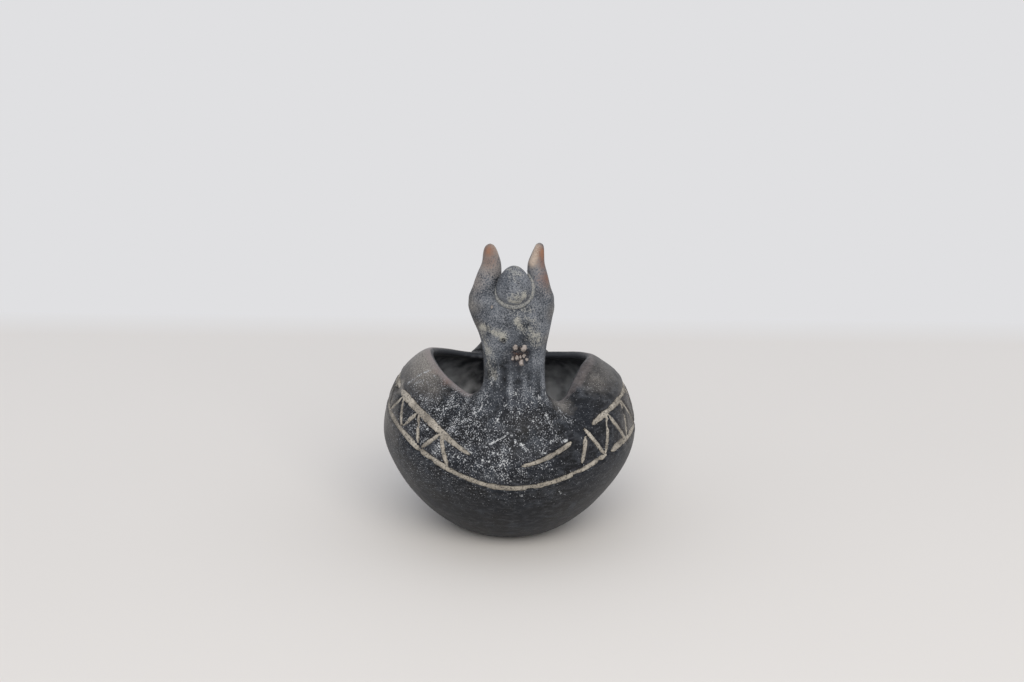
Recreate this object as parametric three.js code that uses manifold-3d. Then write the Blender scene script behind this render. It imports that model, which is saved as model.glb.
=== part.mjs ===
// A small animal-shaped dish of black burnished earthenware, built by hand from separate pieces of clay:
// a pinched bowl with an in-turned, saddle-shaped rim, a horned neck luted to its front shoulder, an
// egg-shaped boss held between the horns, and a tail lug on the back of the rim. A zigzag band between two
// lines is incised round the shoulder, and every cut is filled with white paste.
// Millimetres, +Z up. The origin is the centre of the flat base, and the head faces -Y.
import * as THREE from "three";
import { mergeVertices } from "three/addons/utils/BufferGeometryUtils.js";
import Module from "manifold-3d";

const wasm = await Module();
wasm.setup();

// Driving dimensions of the bowl.
const BELLY_RADIUS = 40; // half the width at the widest line
const BELLY_HEIGHT = 32; // height of the widest line
const BASE_RADIUS = 13.8; // of the flat that the dish stands on
const RIM_HEIGHT = 58; // at the two sides, where the rim is highest
const RIM_DIP = 0.365; // share of the shoulder's rise that is lost at the front and the back
const MOUTH_RADIUS = 24.2;
const LIP_THICKNESS = 3.2;
const WALL = 3.8;
const FLOOR = 5;
const LENGTH_RATIO = 1.03; // the bowl is a little longer than it is wide

// The rim is uneven from pinching and wear: how far it has sunk, and spread outwards, at angles from the front.
const RIM_WEAR = [
  { degrees: -180, sunk: 1.9, spread: 0 },
  { degrees: -150, sunk: 2.5, spread: 0 },
  { degrees: -120, sunk: 2.3, spread: 0 },
  { degrees: -100, sunk: 1.5, spread: 0 },
  { degrees: -82, sunk: 0.2, spread: 0 },
  { degrees: -40, sunk: 0, spread: 0 },
  { degrees: 0, sunk: 1, spread: 0 },
  { degrees: 20, sunk: 2.6, spread: 0.8 },
  { degrees: 40, sunk: 3.8, spread: 1.8 },
  { degrees: 55, sunk: 3, spread: 1.2 },
  { degrees: 68, sunk: 1.2, spread: 0.2 },
  { degrees: 80, sunk: 2.2, spread: 0 },
  { degrees: 95, sunk: 3.6, spread: 0 },
  { degrees: 115, sunk: 4.2, spread: 0 },
  { degrees: 135, sunk: 3.6, spread: 0 },
  { degrees: 155, sunk: 2.4, spread: 0 },
  { degrees: 180, sunk: 1.9, spread: 0 },
];
const WEAR_START = 0.55; // share of the shoulder's rise above which the wear sets in

// Driving dimensions of the seams and the incised band.
const SLIP_GAP = 0.3; // slip seam between two luted pieces
const LINE_WIDTH = 2.1;
const STROKE_WIDTH = 1.6;
const GROOVE_DEPTH = 1.3;
const PASTE_SUNK = 0.08; // the worn paste lies this far below the clay
const STROKE_CLEARANCE = 1.9; // from the middle of a line to the end of a zigzag stroke
const ZIGZAG_FIRST = 40; // degrees from the front, on the right
const ZIGZAG_LAST = 325.4;
const ZIGZAG_COUNT = 18;
const FOOT_GAP = 1.9; // degrees from the foot of a chevron to halfway to the next one

// Facets.
const ROUND_SEGMENTS = 48;
const SECTION_POINTS = 20;
const LOFT_STEPS = 2; // rings between two stations of a loft

const clay = {
  black: new THREE.MeshStandardMaterial({ color: 0x2b2c2f, roughness: 0.55, metalness: 0 }),
  ashy: new THREE.MeshStandardMaterial({ color: 0x55575b, roughness: 0.7, metalness: 0 }),
};
const whitePaste = new THREE.MeshStandardMaterial({ color: 0xbfb9ac, roughness: 0.95, metalness: 0 });

const dish = new THREE.Group();

function addPiece(name, solid, material) {
  const mesh = new THREE.Mesh(geometryOf(solid), material);
  mesh.name = name;
  dish.add(mesh);
}

// A closed geometry as a solid for joining and cutting, without its zero-area triangles.
function solidOf(geometry) {
  const bare = geometry.clone();
  bare.deleteAttribute("normal");
  bare.deleteAttribute("uv");
  const merged = mergeVertices(bare, 1e-4);
  const faces = [];
  for (let i = 0; i < merged.index.count; i += 3) {
    const [a, b, c] = merged.index.array.slice(i, i + 3);
    if (a !== b && b !== c && c !== a) faces.push(a, b, c);
  }
  return new wasm.Manifold(
    new wasm.Mesh({
      numProp: 3,
      vertProperties: new Float32Array(merged.attributes.position.array),
      triVerts: new Uint32Array(faces),
    }),
  );
}

function geometryOf(solid) {
  const mesh = solid.getMesh();
  const geometry = new THREE.BufferGeometry();
  geometry.setAttribute("position", new THREE.BufferAttribute(new Float32Array(mesh.vertProperties), 3));
  geometry.setIndex(new THREE.BufferAttribute(new Uint32Array(mesh.triVerts), 1));
  geometry.computeVertexNormals();
  return geometry;
}

// Skins a row of rings, each with the same number of points running the same way, and closes both ends.
function skin(rings) {
  const count = rings[0].length;
  const points = rings.flat();
  const faces = [];
  for (let ring = 0; ring + 1 < rings.length; ring++) {
    for (let i = 0; i < count; i++) {
      const a = ring * count + i;
      const b = ring * count + ((i + 1) % count);
      faces.push(a, b, b + count, a, b + count, a + count);
    }
  }
  const capEnd = (ring, turned) => {
    const middle = points.length;
    const sum = rings[ring].reduce((total, p) => total.add(p), new THREE.Vector3());
    points.push(sum.divideScalar(count));
    for (let i = 0; i < count; i++) {
      const a = ring * count + i;
      const b = ring * count + ((i + 1) % count);
      faces.push(...(turned ? [middle, b, a] : [middle, a, b]));
    }
  };
  capEnd(0, true);
  capEnd(rings.length - 1, false);
  const geometry = new THREE.BufferGeometry().setFromPoints(points);
  geometry.setIndex(faces);
  return geometry;
}

// A solid lofted upwards through level stations, each { z, left, right, front, back }, with smooth
// curves between them and oval sections. The stations grow outwards by grow on every side.
function loftUpwards(stations, grow = 0) {
  const edge = (key) => new THREE.SplineCurve(stations.map((s) => new THREE.Vector2(s[key], s.z)));
  const [left, right, front, back] = ["left", "right", "front", "back"].map(edge);
  const steps = (stations.length - 1) * LOFT_STEPS;
  const rings = [];
  for (let i = 0; i <= steps; i++) {
    const [l, r, f, b] = [left, right, front, back].map((curve) => curve.getPoint(i / steps));
    const centre = new THREE.Vector3((l.x + r.x) / 2, (f.x + b.x) / 2, l.y);
    const halfWidth = (r.x - l.x) / 2 + grow;
    const halfDepth = (b.x - f.x) / 2 + grow;
    rings.push(ovalRing(centre, halfWidth, halfDepth));
  }
  const top = rings[rings.length - 1];
  rings.push(top.map((p) => new THREE.Vector3(p.x, p.y, p.z + grow)));
  return solidOf(skin(grow ? rings : rings.slice(0, -1)));
}

function ovalRing(centre, halfWidth, halfDepth) {
  const ring = [];
  for (let i = 0; i < SECTION_POINTS; i++) {
    const turn = (2 * Math.PI * i) / SECTION_POINTS;
    ring.push(new THREE.Vector3(halfWidth * Math.cos(turn), halfDepth * Math.sin(turn), 0).add(centre));
  }
  return ring;
}

// The bowl's shape. Its section at the sides is drawn as a profile and revolved, and the shoulder is then
// pressed down towards the front and the back, which gives the rim its saddle shape, and worn at the rim.
const undersideCurve = (grow) =>
  new THREE.CubicBezierCurve(
    new THREE.Vector2(BASE_RADIUS, -grow),
    new THREE.Vector2(BASE_RADIUS + 11.2, 0.6 - grow),
    new THREE.Vector2(BELLY_RADIUS + grow, BELLY_HEIGHT - 9.7),
    new THREE.Vector2(BELLY_RADIUS + grow, BELLY_HEIGHT),
  );

const shoulderCurve = (grow) =>
  new THREE.CubicBezierCurve(
    new THREE.Vector2(BELLY_RADIUS + grow, BELLY_HEIGHT),
    new THREE.Vector2(BELLY_RADIUS + grow, BELLY_HEIGHT + 12),
    new THREE.Vector2(MOUTH_RADIUS + 6.3 + grow, RIM_HEIGHT - 0.7 + grow),
    new THREE.Vector2(MOUTH_RADIUS + LIP_THICKNESS / 2, RIM_HEIGHT + grow),
  );

// How much of the shoulder's rise is left at an angle from the front.
const riseAt = (angle) => 1 - RIM_DIP * Math.cos(angle) ** 2;

const rimWear = new THREE.CubicInterpolant(
  RIM_WEAR.map((mark) => mark.degrees),
  RIM_WEAR.flatMap((mark) => [mark.sunk, mark.spread]),
  2,
);

// Where a place on the revolved form comes to lie once the shoulder is pressed and the rim is worn.
function worked(x, y, z) {
  const radius = Math.hypot(x, y);
  const climb = Math.max(0, z - BELLY_HEIGHT);
  const angle = radius > 1e-6 ? Math.atan2(x, -y) : 0;
  const [sunk, spread] = rimWear.evaluate(THREE.MathUtils.radToDeg(angle));
  const give = THREE.MathUtils.smoothstep(climb / (RIM_HEIGHT - BELLY_HEIGHT), WEAR_START, 1);
  const outwards = radius > 1e-6 ? 1 + (spread * give) / radius : 1;
  const drop = climb * (1 - riseAt(angle)) + sunk * give;
  return new THREE.Vector3(x * outwards, y * outwards * LENGTH_RATIO, z - drop);
}

function work(geometry) {
  const place = geometry.attributes.position;
  for (let i = 0; i < place.count; i++) {
    const { x, y, z } = worked(place.getX(i), place.getY(i), place.getZ(i));
    place.setXYZ(i, x, y, z);
  }
  return geometry;
}

function outsideProfile(grow = 0) {
  const underside = undersideCurve(grow).getPoints(8);
  const shoulder = shoulderCurve(grow).getPoints(8);
  return [new THREE.Vector2(0, -grow), ...underside, ...shoulder.slice(1)];
}

function insideProfile(grow = 0) {
  const lipMiddle = MOUTH_RADIUS + LIP_THICKNESS / 2;
  const lipRadius = LIP_THICKNESS / 2 + grow;
  const lip = new THREE.Path();
  lip.absarc(lipMiddle, RIM_HEIGHT + grow - lipRadius, lipRadius, Math.PI / 2, (3 * Math.PI) / 2, false);
  const insideRadius = BELLY_RADIUS - WALL - grow;
  const underLip = RIM_HEIGHT + grow - 2 * lipRadius;
  const floorDepth = BELLY_HEIGHT - FLOOR - grow;
  const wall = new THREE.Path();
  wall.moveTo(lipMiddle, underLip);
  wall.bezierCurveTo(lipMiddle + 3.4, underLip - 1, insideRadius, BELLY_HEIGHT + 11, insideRadius, BELLY_HEIGHT);
  wall.absellipse(0, BELLY_HEIGHT, insideRadius, floorDepth, 0, -Math.PI / 2, true);
  return [...lip.getPoints(5).slice(1, -1), ...wall.getPoints(6)];
}

function revolve(profile) {
  const onAxis = profile.map((p) => new THREE.Vector2(Math.abs(p.x) < 1e-6 ? 0 : p.x, p.y));
  return new THREE.LatheGeometry(onAxis, ROUND_SEGMENTS).rotateX(Math.PI / 2);
}

const bowlShell = (grow = 0) => solidOf(work(revolve([...outsideProfile(grow), ...insideProfile(grow)])));

// The bowl's outside as a full body with its mouth closed, for seating the tail on the rim.
function bowlEnvelope(grow) {
  const profile = [...outsideProfile(grow), new THREE.Vector2(0, RIM_HEIGHT + grow)];
  return solidOf(work(revolve(profile)));
}

// The outside radius of the revolved form at a height.
function outsideRadius(height) {
  const curve = height <= BELLY_HEIGHT ? undersideCurve(0) : shoulderCurve(0);
  let [low, high] = [0, 1];
  for (let i = 0; i < 30; i++) {
    const middle = (low + high) / 2;
    if (curve.getPoint(middle).y < height) low = middle;
    else high = middle;
  }
  return curve.getPoint(low).x;
}

// The point on the bowl's outside at an angle from the front, towards +X, and a height before wear.
function onBowl(angle, height) {
  const rise = height > BELLY_HEIGHT ? riseAt(angle) : 1;
  const unpressed = BELLY_HEIGHT + (height - BELLY_HEIGHT) / rise;
  const radius = outsideRadius(unpressed);
  return worked(radius * Math.sin(angle), -radius * Math.cos(angle), unpressed);
}

function bowlNormal(angle, height) {
  const step = 0.02;
  const along = onBowl(angle + step, height).sub(onBowl(angle - step, height));
  const up = onBowl(angle, height + step * 10).sub(onBowl(angle, height - step * 10));
  return along.cross(up).normalize();
}

// The two lines of the incised band dip under the neck and under the tail, and lean a little.
const bump = (angle, width) => Math.exp(-((angle / width) ** 2));

function bandLine({ level, frontDip, frontWidth, backDip, lean }) {
  return (angle) => {
    const fromFront = Math.atan2(Math.sin(angle), Math.cos(angle));
    const fromBack = Math.PI - Math.abs(fromFront);
    const dip = frontDip * bump(fromFront, frontWidth) + backDip * bump(fromBack, 0.7);
    return BELLY_HEIGHT + level - dip - lean * Math.sin(angle);
  };
}

const lowerLine = bandLine({ level: 5.6, frontDip: 11.2, frontWidth: 0.785, backDip: 5, lean: 3.2 });
const upperLine = bandLine({ level: 14.5, frontDip: 12.6, frontWidth: 0.663, backDip: 6.8, lean: 0.8 });

// A bar that follows the bowl's outside through points { angle, height }: wide at the top, narrower below.
function surfaceBar(route, width, top, bottom) {
  const rings = route.map(({ angle, height }, i) => {
    const before = route[Math.max(0, i - 1)];
    const after = route[Math.min(route.length - 1, i + 1)];
    const place = onBowl(angle, height);
    const along = onBowl(after.angle, after.height).sub(onBowl(before.angle, before.height)).normalize();
    const out = bowlNormal(angle, height);
    const across = out.clone().cross(along).normalize();
    const corner = (side, lift) => place.clone().addScaledVector(across, side).addScaledVector(out, lift);
    const foot = width * 0.3;
    return [corner(-width / 2, top), corner(-foot, bottom), corner(foot, bottom), corner(width / 2, top)];
  });
  return solidOf(skin(rings));
}

const radians = THREE.MathUtils.degToRad;

// Points along one of the band's lines, from one angle to another, in degrees.
function lineRoute(line, from, to) {
  const steps = Math.ceil((to - from) / 8);
  return Array.from({ length: steps + 1 }, (_, i) => {
    const angle = radians(from + ((to - from) * i) / steps);
    return { angle, height: line(angle) };
  });
}

// Points along a straight zigzag stroke, from under the upper line down to the lower one.
function strokeRoute(apex, foot) {
  const steps = 2;
  const start = { angle: radians(apex), height: upperLine(radians(apex)) - STROKE_CLEARANCE };
  const end = { angle: radians(foot), height: lowerLine(radians(foot)) + STROKE_CLEARANCE };
  return Array.from({ length: steps + 1 }, (_, i) => ({
    angle: THREE.MathUtils.lerp(start.angle, end.angle, i / steps),
    height: THREE.MathUtils.lerp(start.height, end.height, i / steps),
  }));
}

// Every incised mark: its name, its width and its strokes, two to a chevron and one to a line.
function incisions() {
  const marks = [];
  const addLine = (name, line, from, to) =>
    marks.push({ name, width: LINE_WIDTH, routes: [lineRoute(line, from, to)] });
  addLine("lower_line_paste_front", lowerLine, -97, 50);
  addLine("lower_line_paste_right", lowerLine, 54, 150);
  addLine("lower_line_paste_back", lowerLine, 154, 259);
  addLine("upper_line_paste_front", upperLine, 6, 31);
  addLine("upper_line_paste_right", upperLine, 45, 150);
  addLine("upper_line_paste_back", upperLine, 154, 250);
  addLine("upper_line_paste_left", upperLine, 254, 340);
  const spacing = (ZIGZAG_LAST - ZIGZAG_FIRST) / (ZIGZAG_COUNT - 1);
  for (let i = 0; i < ZIGZAG_COUNT; i++) {
    const apex = ZIGZAG_FIRST + i * spacing;
    const reach = spacing / 2 - FOOT_GAP;
    const routes = [-reach, reach].map((lean) => strokeRoute(apex, apex + lean));
    marks.push({ name: `zigzag_paste_${String(i + 1).padStart(2, "0")}`, width: STROKE_WIDTH, routes });
  }
  return marks;
}

function addBowlAndPaste() {
  let bowl = bowlShell();
  for (const { name, width, routes } of incisions()) {
    const grooves = routes.map((route) => surfaceBar(route, width, 0.6, -GROOVE_DEPTH));
    bowl = grooves.reduce((body, groove) => body.subtract(groove), bowl);
    const fills = routes.map((route) =>
      surfaceBar(shorten(route, SLIP_GAP), width - 2 * SLIP_GAP, -PASTE_SUNK, SLIP_GAP - GROOVE_DEPTH),
    );
    addPiece(name, fills.reduce((all, fill) => all.add(fill)), whitePaste);
  }
  addPiece("bowl", bowl, clay.black);
}

// The same route with both ends drawn in by a distance.
function shorten(route, distance) {
  const drawIn = (end, next) => {
    const span = onBowl(end.angle, end.height).distanceTo(onBowl(next.angle, next.height));
    const share = distance / span;
    return {
      angle: THREE.MathUtils.lerp(end.angle, next.angle, share),
      height: THREE.MathUtils.lerp(end.height, next.height, share),
    };
  };
  const last = route.length - 1;
  return [drawIn(route[0], route[1]), ...route.slice(1, last), drawIn(route[last], route[last - 1])];
}

// The neck: a rolled column that swells into the head, with a cup on top for the boss. Its foot flares out
// over the front shoulder and is smeared down inside the mouth, so it straddles the rim.
const NECK_STATIONS = [
  { z: 36.5, left: -4, right: 6, front: -38.8, back: -37 },
  { z: 40, left: -10.6, right: 12.6, front: -38.7, back: -30 },
  { z: 45, left: -13.8, right: 15.6, front: -36.7, back: -21.6 },
  { z: 51, left: -10.4, right: 12.6, front: -34.7, back: -19 },
  { z: 60, left: -8, right: 10.7, front: -34, back: -19 },
  { z: 68, left: -8.5, right: 11.2, front: -33.6, back: -19.4 },
  { z: 76, left: -11.2, right: 12.6, front: -33.6, back: -19.6 },
  { z: 81.6, left: -12.9, right: 13.4, front: -33.2, back: -20.2 },
  { z: 84.8, left: -11, right: 11.6, front: -31.8, back: -21.6 },
  { z: 86.2, left: -7, right: 7.6, front: -29.8, back: -23.8 },
];
const neckForm = (grow = 0) => loftUpwards(NECK_STATIONS, grow);

// The horns: pinched points that go on from the sides of the head, lean in and then stand up.
const HORN_STATIONS = {
  left: [
    { z: 82, left: -12.3, right: -3, front: -32, back: -21.6 },
    { z: 86, left: -11.9, right: -2.9, front: -31.4, back: -22 },
    { z: 90.7, left: -10.3, right: -2.8, front: -30.4, back: -22.8 },
    { z: 94.5, left: -8.8, right: -3, front: -29.6, back: -23.6 },
    { z: 97.6, left: -8.4, right: -3.9, front: -28.9, back: -24.2 },
    { z: 99.4, left: -7.9, right: -4.7, front: -28.3, back: -24.8 },
    { z: 100.4, left: -6.8, right: -5.8, front: -27.2, back: -25.9 },
  ],
  right: [
    { z: 82, left: 5.3, right: 12.8, front: -32, back: -21.6 },
    { z: 86, left: 5.1, right: 12.3, front: -31.4, back: -22 },
    { z: 90.7, left: 5, right: 11.2, front: -30.4, back: -22.8 },
    { z: 94.5, left: 5.1, right: 10.2, front: -29.6, back: -23.6 },
    { z: 97.6, left: 6.2, right: 10, front: -28.8, back: -24.3 },
    { z: 99.6, left: 7.1, right: 9.8, front: -28.1, back: -24.9 },
    { z: 100.8, left: 8, right: 9.1, front: -27.1, back: -25.9 },
  ],
};

// The boss: an egg of clay, broad end down.
const BOSS = { x: 1.45, y: -31.4, z: 88.75, halfWidth: 5.3, halfDepth: 4.7, halfHeight: 6.1, taper: 0.2 };

function bossForm(grow = 0) {
  const egg = new THREE.SphereGeometry(1, SECTION_POINTS, 12).rotateX(Math.PI / 2);
  const place = egg.attributes.position;
  for (let i = 0; i < place.count; i++) {
    const narrow = 1 - BOSS.taper * place.getZ(i);
    place.setXYZ(
      i,
      BOSS.x + place.getX(i) * narrow * (BOSS.halfWidth + grow),
      BOSS.y + place.getY(i) * narrow * (BOSS.halfDepth + grow),
      BOSS.z + place.getZ(i) * (BOSS.halfHeight + grow),
    );
  }
  return solidOf(egg);
}

// The collar: a thin roll of clay pressed round the lower front of the boss.
const COLLAR = { radius: 1, from: 188, to: 398, stand: 0.6, forward: 1.9 };

function collarForm() {
  const points = [];
  const steps = 12;
  for (let i = 0; i <= steps; i++) {
    const turn = radians(COLLAR.from + ((COLLAR.to - COLLAR.from) * i) / steps);
    const up = Math.sin(turn);
    const narrow = 1 - BOSS.taper * up;
    points.push(
      new THREE.Vector3(
        BOSS.x + Math.cos(turn) * narrow * (BOSS.halfWidth + COLLAR.stand),
        BOSS.y - COLLAR.forward + 1.2 * Math.cos(turn) ** 2 + 2 * Math.max(0, up),
        BOSS.z + up * (BOSS.halfHeight + COLLAR.stand),
      ),
    );
  }
  const section = new THREE.Shape().absarc(0, 0, COLLAR.radius, 0, 2 * Math.PI, false);
  const roll = new THREE.ExtrudeGeometry(section, {
    steps: steps + 4,
    curveSegments: 5,
    bevelEnabled: false,
    extrudePath: new THREE.CatmullRomCurve3(points),
  });
  return solidOf(roll);
}

// The tail: a flattened lug that rises from the back of the rim and leans outwards.
const TAIL_STATIONS = [
  { z: 37, left: -12.5, right: 12.5, front: 25, back: 42.5 },
  { z: 43, left: -11.6, right: 11.6, front: 24, back: 39.6 },
  { z: 48, left: -10.2, right: 10.2, front: 24.4, back: 37 },
  { z: 54, left: -7.6, right: 7.6, front: 27.5, back: 36.4 },
  { z: 59, left: -5, right: 5, front: 31, back: 37.2 },
  { z: 62, left: -2.4, right: 2.4, front: 33.4, back: 37 },
];

function addHeadAndTail() {
  const neck = neckForm().subtract(bowlShell(SLIP_GAP)).subtract(bossForm(SLIP_GAP));
  addPiece("neck", neck, clay.ashy);
  const cutForHorns = neckForm(SLIP_GAP).add(bossForm(SLIP_GAP));
  const horns = ["left", "right"].map((side) => loftUpwards(HORN_STATIONS[side]).subtract(cutForHorns));
  addPiece("horn_left", horns[0], clay.ashy);
  addPiece("horn_right", horns[1], clay.ashy);
  addPiece("egg_boss", bossForm(), clay.ashy);
  let collar = collarForm().subtract(cutForHorns);
  for (const side of ["left", "right"]) collar = collar.subtract(loftUpwards(HORN_STATIONS[side], SLIP_GAP));
  addPiece("boss_collar", collar, clay.ashy);
  addPiece("tail_lug", loftUpwards(TAIL_STATIONS).subtract(bowlEnvelope(SLIP_GAP)), clay.black);
}

addBowlAndPaste();
addHeadAndTail();

export default dish;
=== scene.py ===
"""A small animal-shaped dish of black burnished earthenware, with a horned head and a zigzag band.

Every piece of clay is modelled as the potter made it: a bowl turned and pressed into a saddle, rolls of
clay for the neck, the horns and the tail, each luted to what carries it with the seam smeared over, and
white paste rubbed into the incised strokes. Sizes are in millimetres until a piece is finished.
"""

import math

import bmesh
import bpy
from mathutils import Matrix, Vector, kdtree, noise
from mathutils.bvhtree import BVHTree


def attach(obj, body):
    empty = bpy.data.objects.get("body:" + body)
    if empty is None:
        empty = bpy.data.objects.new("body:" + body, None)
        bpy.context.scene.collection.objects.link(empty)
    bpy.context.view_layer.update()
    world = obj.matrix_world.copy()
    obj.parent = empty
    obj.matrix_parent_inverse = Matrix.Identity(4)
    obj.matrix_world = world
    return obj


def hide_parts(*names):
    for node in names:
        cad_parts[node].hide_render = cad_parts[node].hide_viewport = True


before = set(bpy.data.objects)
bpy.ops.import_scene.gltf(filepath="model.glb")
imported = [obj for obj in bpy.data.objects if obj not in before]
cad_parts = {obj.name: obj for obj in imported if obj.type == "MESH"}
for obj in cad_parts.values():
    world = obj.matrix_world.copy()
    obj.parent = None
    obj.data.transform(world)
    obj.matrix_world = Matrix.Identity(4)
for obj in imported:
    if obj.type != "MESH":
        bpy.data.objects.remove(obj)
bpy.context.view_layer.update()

MM = 0.001

# The bowl, the same as in the solids.
BELLY_RADIUS = 40.0
BELLY_HEIGHT = 32.0
BASE_RADIUS = 13.8
RIM_HEIGHT = 58.0
RIM_DIP = 0.365
MOUTH_RADIUS = 24.2
LIP_THICKNESS = 3.2
WALL = 3.8
FLOOR = 5.0
LENGTH_RATIO = 1.03

# The unevenness of the potter's hand: the sizes of its swells with their strengths, the heights between
# which it sets in above the flat base, and a seed that makes it the same on every run.
SWELLS = ((26.0, 0.5), (9.0, 0.12))
FLAT_BASE = (0.5, 8.0)
UNEVENNESS_SEED = 436
noise.seed_set(UNEVENNESS_SEED)

# How finely the bowl is drawn: points tried along its curves, walls and lip, steps round it, and the spacing
# of the rows that are kept on the base, in the band and just under it, on the lip and elsewhere.
CURVE_POINTS = 400
WALL_POINTS = 200
LIP_POINTS = 60
BOWL_STEPS = 480
BASE_SPACING = 3.0
BAND_BOTTOM = 21.0
BAND_SPACING = 0.45
LIP_SPACING = 0.5
PLAIN_SPACING = 1.6
RADIUS_HALVINGS = 22
MERGE_DISTANCE = 1e-4
TOUCHING = 1e-5

# Stations of the rolled pieces: height, left, right, front, back.
NECK = (
    (36.5, -4.0, 6.0, -36.0, -34.0),
    (40.0, -10.2, 12.2, -35.6, -29.0),
    (45.0, -12.6, 14.6, -35.3, -21.6),
    (51.0, -9.6, 11.9, -34.7, -19.0),
    (56.0, -8.2, 10.9, -34.1, -18.8),
    (62.0, -8.0, 10.7, -33.9, -19.0),
    (68.0, -8.5, 11.1, -33.6, -19.4),
    (72.5, -9.7, 11.9, -33.5, -19.5),
    (77.0, -11.6, 12.7, -33.5, -19.6),
    (81.6, -12.8, 13.3, -33.2, -20.2),
    (84.8, -11.2, 11.8, -31.8, -21.6),
    (86.6, -6.4, 7.0, -29.4, -24.2),
)
HORN_LEFT = (
    (79.0, -9.4, -3.2, -31.0, -22.0),
    (83.0, -11.4, -3.0, -31.2, -21.8),
    (86.9, -11.4, -2.8, -31.0, -22.2),
    (90.7, -10.3, -2.8, -30.4, -22.8),
    (94.5, -8.8, -3.0, -29.6, -23.6),
    (97.6, -8.4, -3.9, -28.9, -24.2),
    (99.2, -8.0, -4.6, -28.4, -24.7),
    (100.0, -7.4, -5.2, -27.8, -25.3),
    (100.4, -6.7, -5.9, -27.1, -26.0),
)
HORN_RIGHT = (
    (79.0, 5.4, 10.4, -31.0, -22.0),
    (83.0, 5.2, 11.9, -31.2, -21.8),
    (86.9, 5.0, 12.0, -31.0, -22.2),
    (90.7, 5.0, 11.2, -30.4, -22.8),
    (94.5, 5.1, 10.2, -29.6, -23.6),
    (97.6, 6.2, 10.0, -28.8, -24.3),
    (99.4, 7.0, 9.9, -28.2, -24.8),
    (100.4, 7.5, 9.6, -27.6, -25.4),
    (100.8, 8.1, 9.0, -27.0, -26.0),
)
TAIL = (
    (38.0, -11.8, 11.8, 35.6, 40.6),
    (42.0, -11.4, 11.4, 31.0, 39.6),
    (46.0, -10.6, 10.6, 26.6, 37.8),
    (50.0, -9.0, 9.0, 25.6, 36.6),
    (54.0, -7.2, 7.2, 27.8, 36.4),
    (58.0, -5.2, 5.2, 30.6, 37.0),
    (60.2, -3.8, 3.8, 32.4, 37.1),
    (61.3, -2.6, 2.6, 33.4, 36.8),
    (61.8, -1.2, 1.2, 34.3, 36.1),
)
BOSS_MIDDLE = Vector((1.0, -31.4, 89.0))
BOSS_HALF = Vector((5.3, 4.7, 6.1))
BOSS_TAPER = 0.2
BOSS_SWELL = (5.0, 0.002)

# The collar round the boss: its arc in degrees, its gap to the boss across and in height, how far out of the
# head it stands, its radius, and the steps in which its ends thin out.
COLLAR_ARC = (188, 412)
COLLAR_STEPS = 90
COLLAR_GAP = (0.25, 0.05)
COLLAR_PUSH = 0.2
COLLAR_RADIUS = 0.9
COLLAR_TAPER = (-3, 16)

# Luting: how far up a roll is smeared and how long its skirt is, in reaches; the spans of the skirt in which
# its lift ends and its edge goes under; and how deep its edge, hem and core lie in the host.
SMEARED_RISE = 2.5
SKIRT_LENGTH = 1.1
LIFT_SPAN = (0.05, 0.85)
TUCK_SPAN = (0.7, 1.0)
EDGE_TUCK = 0.2
HEM_TUCK = 0.4
CORE_TUCK = 1.6
SMEAR_PASSES = 7
LEAST_PULL = 0.3
MEETING_STEP = 0.3
STEP_OUT = 0.2

# The worn rim: degrees from the front, how far it has sunk, and how far it has spread outwards. The wear
# starts at this share of the climb from the belly to the rim.
RIM_WEAR_START = 0.55
RIM_WEAR = (
    (-180, 1.9, 0.0),
    (-150, 2.5, 0.0),
    (-120, 2.3, 0.0),
    (-100, 1.5, 0.0),
    (-82, 0.2, 0.0),
    (-40, 0.0, 0.0),
    (0, 1.0, 0.0),
    (20, 2.6, 0.8),
    (40, 3.8, 1.0),
    (55, 3.0, -0.9),
    (68, 1.2, -0.9),
    (80, 1.5, -0.5),
    (95, 2.7, -0.1),
    (115, 3.4, 0.0),
    (135, 2.9, 0.0),
    (155, 2.0, 0.0),
    (180, 1.9, 0.0),
)

# The incised band: its strokes, and its chevrons in degrees from the front.
STROKE_WIDTH = 1.5
STROKE_SPACING = 0.35
STROKE_POINTS = 8
STROKE_TAPER = 1.6
STROKE_SWELLS = ((5.0, 0.22), (1.1, 0.2))
LINE_POINTS = 60
CHEVRONS = 18
FIRST_APEX = 40.0
LAST_APEX = 325.4
HALF_CHEVRON = 7.2
APEX_SPREAD = 0.06
APEX_CLEARANCE = 0.5
FOOT_CLEARANCE = 1.1
FOOT_SHAKE = 0.8
SHAKE_START = Vector((0.0, 1.3, 5.1))
SHAKE_STEP = 3.7

# The groove of a stroke: its depth, its width and the start and end of its wall in half widths of the
# stroke, the burr beside it, and how far from a stroke the clay is untouched.
GROOVE_DEPTH = 0.8
GROOVE_SPREAD = 1.15
GROOVE_WALL = (0.6, 1.25)
BURR_HEIGHT = 0.13
BURR_PLACE = 1.6
BURR_WIDTH = 0.4
UNTOUCHED = 2.8

# The paste in a groove: how deep its top and its root lie, how square it is, the noise that wears it, where
# it wears sooner because it is handled, and what it loses of its width and height.
PASTE_SUNK = 0.1
PASTE_ROOT = 0.6
PASTE_SIDES = 12
PASTE_SQUARENESS = 0.55
PASTE_CRUMB = 0.8
WEAR_SIZE = 3.1
WEAR_SPAN = (0.2, 0.6)
WEAR_PLACE = Vector((7, 2, 9))
WEAR_MOST = 0.6
HANDLED_SPAN = (-8, 14)
HANDLED_MOST = 0.25
NARROWED = 0.55
LOWERED = 0.8


def smooth_step(low, high, value):
    share = min(1.0, max(0.0, (value - low) / (high - low)))
    return share * share * (3 - 2 * share)


def blend(first, second, share):
    return first + (second - first) * share


def bump(value, width):
    return math.exp(-((value / width) ** 2))


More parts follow.
